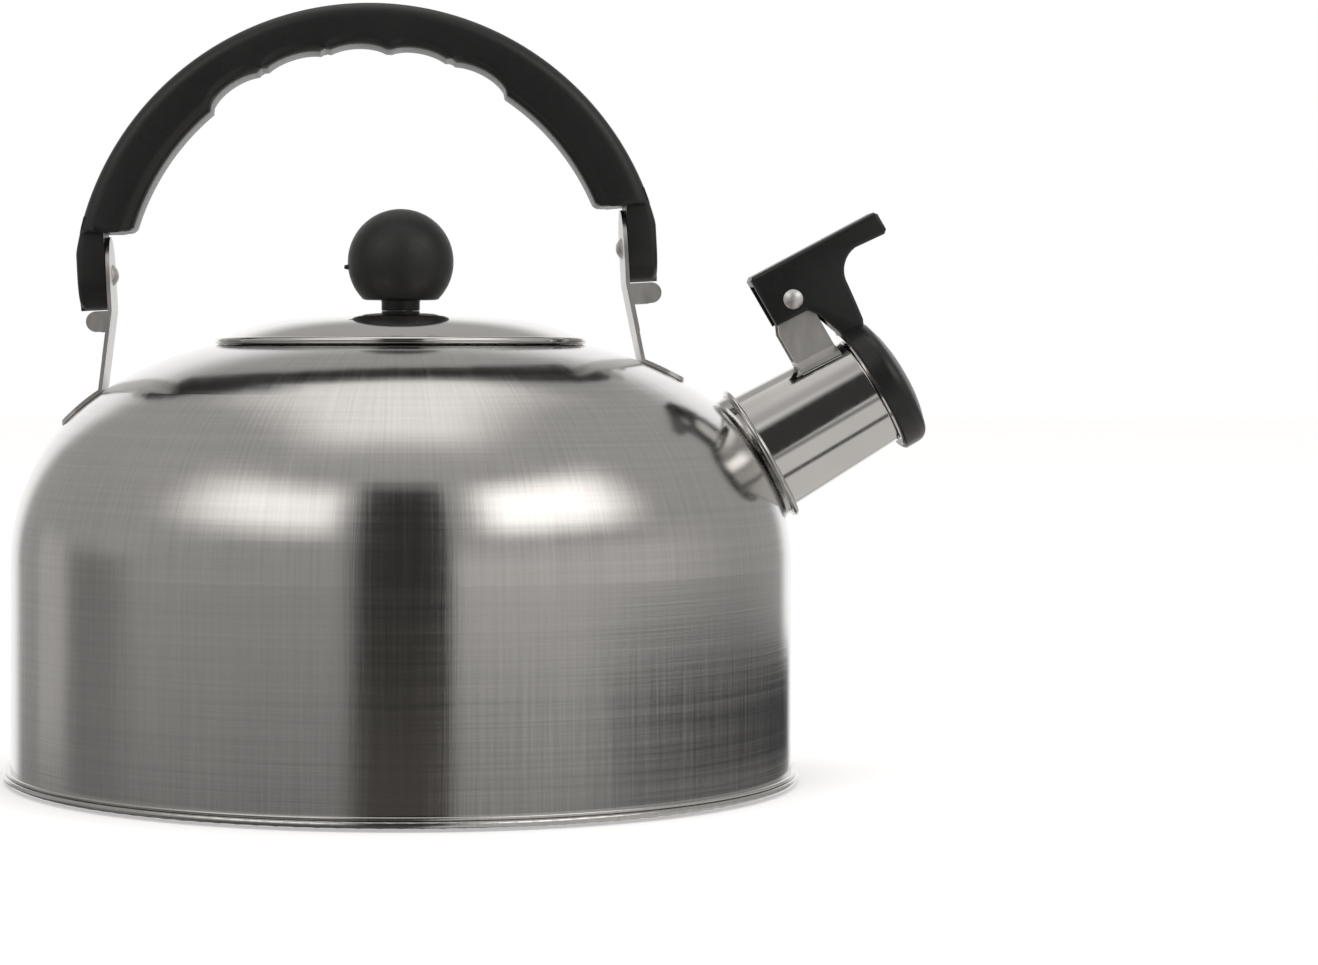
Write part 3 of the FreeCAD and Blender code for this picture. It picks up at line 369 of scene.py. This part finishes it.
def make_knob():
    """A ball with a level flat below, a boss, and a bore for the threaded insert."""
    bpy.ops.mesh.primitive_uv_sphere_add(segments=96, ring_count=64, radius=KNOB_RADIUS)
    knob = begin("knob_ball")
    drop = math.sqrt(KNOB_RADIUS ** 2 - KNOB_FLAT ** 2)
    bpy.ops.mesh.select_all(action="SELECT")
    bpy.ops.mesh.bisect(plane_co=(0, 0, -drop), plane_no=(0, 0, 1), clear_inner=True, use_fill=True)
    pick("FACE", lambda middle, facing: middle.z < -drop + 1e-6 and abs(facing.z) > 0.99)
    bpy.ops.mesh.inset(thickness=KNOB_FLAT - BOSS_RADIUS)
    bpy.ops.mesh.extrude_region_move(TRANSFORM_OT_translate={"value": (0, 0, -BOSS_HEIGHT)})
    bpy.ops.mesh.inset(thickness=BOSS_RADIUS - INSERT_RADIUS)
    bpy.ops.mesh.extrude_region_move(TRANSFORM_OT_translate={"value": (0, 0, INSERT_DEPTH)})
    for height, radius, bend in ((-drop, KNOB_FLAT, 0.0006), (-drop, BOSS_RADIUS, 0.0005),
                                 (-drop - BOSS_HEIGHT, BOSS_RADIUS, 0.0003)):
        pick("EDGE", lambda middle, _: abs(middle.z - height) < 1e-5
             and abs(math.hypot(middle.x, middle.y) - radius) < 1e-4)
        bpy.ops.mesh.bevel(offset=bend, segments=4)
    settle(knob, 40)
    # the mark that the mould's gate left
    bpy.ops.mesh.primitive_cone_add(vertices=24, radius1=GATE_FOOT, radius2=GATE_TIP, depth=GATE_LENGTH,
                                    location=(-KNOB_RADIUS + 0.0001, 0, -GATE_DROP),
                                    rotation=(0, -math.pi / 2, 0))
    join_solid(knob, bpy.context.object)
    knob.location = KNOB_CENTRE
    settle(knob, 40)
    return knob


dress(make_knob(), KNOB_BLACK, "lid", "knob")

# ---------------------------------------------------------------- whistle cap

# Along the spout from its root, and up from its axis.
SPOUT_ROOT, SPOUT_RISE = Vector((0.0831, 0, 0.07466)), 30.0
CAP_START, CAP_RADIUS, CAP_WALL = 0.0311, 0.0159, 0.0022
PIN_ALONG, PIN_UP, PIN_BORE = 0.0254, 0.0277, 0.00158
ARM_WIDTH, ARM_WALL, ARM_ROUND, CAP_EDGE = 0.0112, 0.0017, 0.0009, 0.0029
STEAM_HOLE, CAP_CEILING = 0.0025, 0.03675


def draw(name, corners):
    """A closed outline in the XZ plane, with each corner dragged to its place."""
    bpy.ops.mesh.primitive_circle_add(vertices=len(corners), radius=1)
    piece = begin(name)
    for number, (across, up) in enumerate(corners):
        bpy.ops.mesh.select_mode(type="VERT")
        bpy.ops.mesh.select_all(action="DESELECT")
        bpy.ops.object.mode_set(mode="OBJECT")
        vertex = piece.data.vertices[number]
        vertex.select = True
        start = vertex.co.copy()
        bpy.ops.object.mode_set(mode="EDIT")
        bpy.ops.transform.translate(value=Vector((across, 0, up)) - start)
    bpy.ops.mesh.select_all(action="SELECT")
    return piece


def prism(name, corners, width, bend=0.0):
    """An outline filled and pulled out to both sides of the XZ plane, with its rims rounded."""
    piece = draw(name, corners)
    bpy.ops.mesh.edge_face_add()
    bpy.ops.transform.translate(value=(0, -width / 2, 0))
    bpy.ops.mesh.extrude_region_move(TRANSFORM_OT_translate={"value": (0, width, 0)})
    if bend:
        pick("EDGE", lambda middle, _: abs(abs(middle.y) - width / 2) < 1e-6)
        bpy.ops.mesh.bevel(offset=bend, segments=4)
    settle(piece)
    return piece


def turned(name, section):
    """A half section turned about the Z axis."""
    piece = draw(name, section)
    bpy.ops.mesh.spin(steps=128, angle=2 * math.pi, center=(0, 0, 0), axis=(0, 0, 1), use_auto_merge=True)
    settle(piece)
    return piece


def arc(centre, radius, start, finish, steps):
    """Points along an arc, with its angles in degrees from +X toward +Z."""
    turns = [math.radians(start + (finish - start) * i / steps) for i in range(steps + 1)]
    return [(centre[0] + radius * math.cos(turn), centre[1] + radius * math.sin(turn)) for turn in turns]


def make_cap():
    """The arm with its hollow and pin bore, and the dome that closes the spout."""
    # the arm from the side: its underside, down to the dome, up to the thumb plate's tip, and its top
    outline = [
        (0.0190, 0.0241), (0.0267, 0.0238), (0.0276, 0.0233), (0.0289, 0.0216), (0.0311, 0.0156),
        (0.0311, 0.0140), (0.0366, 0.0140), (0.0373, 0.0156), (0.0379, 0.0205),
        *arc((0.0448, 0.0244), 0.0065, 180, 97, 9),
        (0.0515, 0.0302), (0.0524, 0.0310), (0.0524, 0.0350), (0.0517, 0.03585), (0.0198, 0.0369),
        (0.0190, 0.0362),
    ]
    cap = prism("whistle_cap", outline, ARM_WIDTH, ARM_ROUND)
    hollow = [(0.014, 0.0110), (0.0303, 0.0110), (0.0303, 0.0298), (0.0286, 0.0344), (0.014, 0.0349)]
    join_solid(cap, prism("arm_hollow", hollow, ARM_WIDTH - 2 * ARM_WALL), "DIFFERENCE")
    rim = CAP_RADIUS - CAP_EDGE
    section = [(CAP_RADIUS - CAP_WALL, CAP_START + 0.0003), (CAP_RADIUS - CAP_WALL + 0.0003, CAP_START),
               (CAP_RADIUS - 0.0004, CAP_START), (CAP_RADIUS, CAP_START + 0.0004),
               *arc((rim, CAP_START + 0.0036), CAP_EDGE, 0, 66, 7),
               (0.0105, 0.0385), (0.0079, 0.03905), (0.0052, 0.03935), (STEAM_HOLE, 0.0395),
               (STEAM_HOLE, CAP_CEILING), (CAP_RADIUS - CAP_WALL, CAP_CEILING)]
    dome = turned("cap_dome", section)
    dome.rotation_euler = (0, math.pi / 2, 0)
    settle(dome)
    join_solid(cap, dome)
    bpy.ops.mesh.primitive_cylinder_add(vertices=48, radius=PIN_BORE, depth=BORE_DEPTH,
                                        rotation=(math.pi / 2, 0, 0), location=(PIN_ALONG, 0, PIN_UP))
    join_solid(cap, bpy.context.object, "DIFFERENCE")
    set_in(cap, SPOUT_ROOT, SPOUT_RISE)
    settle(cap, 35)
    return cap


dress(make_cap(), CAP_BLACK, "whistle_cap", "cap_lever")

# ---------------------------------------------------------------- torsion spring

coil = nodes["cap_spring"].data.copy()
coil.transform(nodes["cap_spring"].matrix_world)
spring = bpy.data.objects.new("wound_spring", coil)
bpy.context.collection.objects.link(spring)
bpy.context.view_layer.objects.active = spring
begin("wound_spring")
settle(spring, 50)
spring.data.materials.clear()
spring.data.materials.append(POLISHED)
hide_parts("cap_spring")
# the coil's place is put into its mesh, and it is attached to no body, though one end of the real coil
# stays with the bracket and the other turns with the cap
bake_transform(spring)

# ---------------------------------------------------------------- studio

FLOOR_SIZE, FLOOR_DROP, FLOOR_GLOW = 8, 0.0001, 0.38

bpy.ops.object.select_all(action="DESELECT")
bpy.ops.mesh.primitive_plane_add(size=FLOOR_SIZE, location=(0, 0, -FLOOR_DROP))
floor = bpy.context.object
floor.name = "floor"
paint = Finish("pale_floor", Roughness=0.8)
paint.give("Base Color", paint.ramp(paint.noise(paint.stretched((3, 3, 3))), (0.3, 0.8), (0.7, 0.82)))
paint.shader.inputs["Emission Color"].default_value = (1, 1, 1, 1)
paint.shader.inputs["Emission Strength"].default_value = FLOOR_GLOW
floor.data.materials.append(paint.material)
floor.visible_glossy = False


class Room(Nodes):
    """What the steel reflects: a grey room told by azimuth and height in degrees. Azimuth 0 is the
    camera's side and 90 is beyond the spout."""

    def __init__(self, *levels):
        """Levels are pairs of a height and how bright the room is there."""
        world = bpy.data.worlds.new("studio")
        bpy.context.scene.world = world
        world.use_nodes = True
        super().__init__(world.node_tree)
        self.tree.nodes.clear()
        direction = self.node("ShaderNodeTexCoord").outputs["Generated"]
        self.toward = self.node("ShaderNodeSeparateXYZ", {"Vector": direction}).outputs
        back = self.math("MULTIPLY", self.toward["Y"], -1)
        self.azimuth = self.math("MULTIPLY", self.math("ARCTAN2", self.toward["X"], back), 180 / math.pi)
        self.height = self.math("MULTIPLY", self.math("ARCSINE", self.toward["Z"]), 180 / math.pi)
        self.glow = self.ramp(self.rise(self.height, -90, 90, "LINEAR"),
                              *(((height + 90) / 180, (glow, glow * 0.975, glow * 0.95))
                                for height, glow in levels))

    def rise(self, value, start, end, style="SMOOTHSTEP"):
        """From 0 where a value is at its start to 1 at its end."""
        made = self.node("ShaderNodeMapRange", {"Value": value}, {"interpolation_type": style})
        made.inputs["From Min"].default_value, made.inputs["From Max"].default_value = start, end
        return made.outputs["Result"]

    def within(self, value, low, high, soft_low, soft_high):
        """Is 1 between low and high, and falls to 0 over a soft width on each side."""
        up = self.rise(value, low - soft_low, low + soft_low)
        past = self.rise(value, high - soft_high, high + soft_high)
        return self.math("MULTIPLY", up, self.math("SUBTRACT", 1, past))

    def patch(self, colour, azimuth, height, soften=(3, 3, 3, 3), keep=0.0):
        """Turns a patch of the room to a colour, keeping some of what was there."""
        mask = self.math("MULTIPLY", self.within(self.azimuth, *azimuth, *soften[:2]),
                         self.within(self.height, *height, *soften[2:]))
        self.lay(mask, colour, keep)

    def lay(self, mask, colour, keep=0.0):
        made = self.node("ShaderNodeMix", (), {"data_type": "RGBA"})
        self.tree.links.new(self.math("MULTIPLY", mask, 1 - keep), made.inputs["Factor"])
        self.tree.links.new(self.glow, made.inputs[6])
        made.inputs[7].default_value = (*colour, 1)
        self.glow = made.outputs[2]

    def finish(self):
        """Puts plain white behind the kettle, and leaves the room to the reflections and the light."""
        room = self.node("ShaderNodeBackground", {"Color": self.glow})
        backdrop = self.node("ShaderNodeBackground", Color=(1, 1, 1, 1))
        ray = self.node("ShaderNodeLightPath").outputs["Is Camera Ray"]
        mix = self.node("ShaderNodeMixShader", {"Fac": ray, 1: room.outputs[0], 2: backdrop.outputs[0]})
        self.node("ShaderNodeOutputWorld", {"Surface": mix.outputs[0]})


def grey(glow, warm=0.03):
    """A grey of a given brightness, a little warm or, below zero, cool."""
    return (glow * (1 + warm), glow, glow * (1 - warm))


room = Room((-90, 0.12), (-30, 0.14), (-10, 0.22), (-7, 0.36), (-4, 0.44), (20, 0.46), (60, 0.5),
            (90, 0.62))
# the white backdrop behind the kettle, a lower pale strip beside it, and a pale wall to the right
room.patch(grey(1.15, 0.01), (150, 181), (-30, 27), (6, 1, 5, 8))
room.patch(grey(1.15, 0.01), (-181, -150), (-30, 27), (1, 6, 5, 8))
room.patch(grey(0.56), (-130, -114), (-7, 6), (2, 1, 0.6, 4))
room.patch(grey(0.26), (-110, -86), (-60, 4), (3, 10, 1, 5))
room.patch(grey(0.63), (14, 92), (-5.4, 14), (3, 26, 0.8, 8))
# a long lamp to the left, a window to the right, and a soft lamp overhead
room.patch(grey(1.6), (-70, -20), (24, 46), (20, 6, 9, 9))
room.patch(grey(2.1), (27, 74), (24, 46), (9, 16, 8, 8))
overhead = room.math("MULTIPLY", room.within(room.toward["X"], -0.3, 0.26, 0.16, 0.16),
                     room.within(room.toward["Y"], -0.22, 0.55, 0.2, 0.06))
overhead = room.math("MULTIPLY", overhead, room.rise(room.toward["Z"], 0.5, 0.7))
room.lay(overhead, grey(1.25))
# the table's dark far edge, its near edge, and a dark stand where the camera is
room.patch(grey(0.04, -0.06), (62, 160), (-7.5, -5.1), (16, 6, 0.5, 0.4))
room.patch(grey(0.2), (-181, 0), (-14, -7.7), (1, 1, 1, 0.3), 0.2)
room.patch(grey(0.045, 0.06), (-13.5, 14.4), (-8, 50), (4, 1.2, 2, 6))
room.patch(grey(0.09, 0.1), (-13.5, 14.4), (-90, -6.2), (4, 1.2, 1, 0.8))
# the pale table top beside the camera, with a dark seam across it
room.patch(grey(0.66), (10, 150), (-76, -12), (4, 8, 4, 3))
room.patch(grey(0.12), (22, 60), (-42, -37), (4, 6, 1.5, 1.5))
room.finish()

# it hangs high over the kettle, with its back turned away from it
LAMP_PLACE, LAMP_LENGTH, LAMP_DEPTH, LAMP_POWER = (0.15, -0.2, 1.7), 1.4, 1.0, 9
LAMP_BACK = Vector((0.15, -0.2, 1.6))
bpy.ops.object.light_add(type="AREA", location=LAMP_PLACE)
lamp = bpy.context.object
lamp.name = "overhead_lamp"
lamp.rotation_euler = LAMP_BACK.to_track_quat("Z", "Y").to_euler()
lamp.data.shape, lamp.data.size, lamp.data.size_y = "RECTANGLE", LAMP_LENGTH, LAMP_DEPTH
lamp.data.energy = LAMP_POWER
lamp.visible_glossy = False

# ---------------------------------------------------------------- camera

CAMERA_PLACE, CAMERA_LENS, CAMERA_SHIFT = (0, -0.78, 0.1), 91.0, (0.196, -0.102)

camera = bpy.data.objects.new("camera", bpy.data.cameras.new("camera"))
bpy.context.scene.collection.objects.link(camera)
camera.location = CAMERA_PLACE
camera.rotation_euler = (math.radians(90), 0, 0)
camera.data.sensor_width = 36
camera.data.lens = CAMERA_LENS
camera.data.shift_x, camera.data.shift_y = CAMERA_SHIFT
camera.data.clip_start, camera.data.clip_end = 0.01, 50
bpy.context.scene.camera = camera
bpy.context.scene.view_settings.view_transform = "Standard"
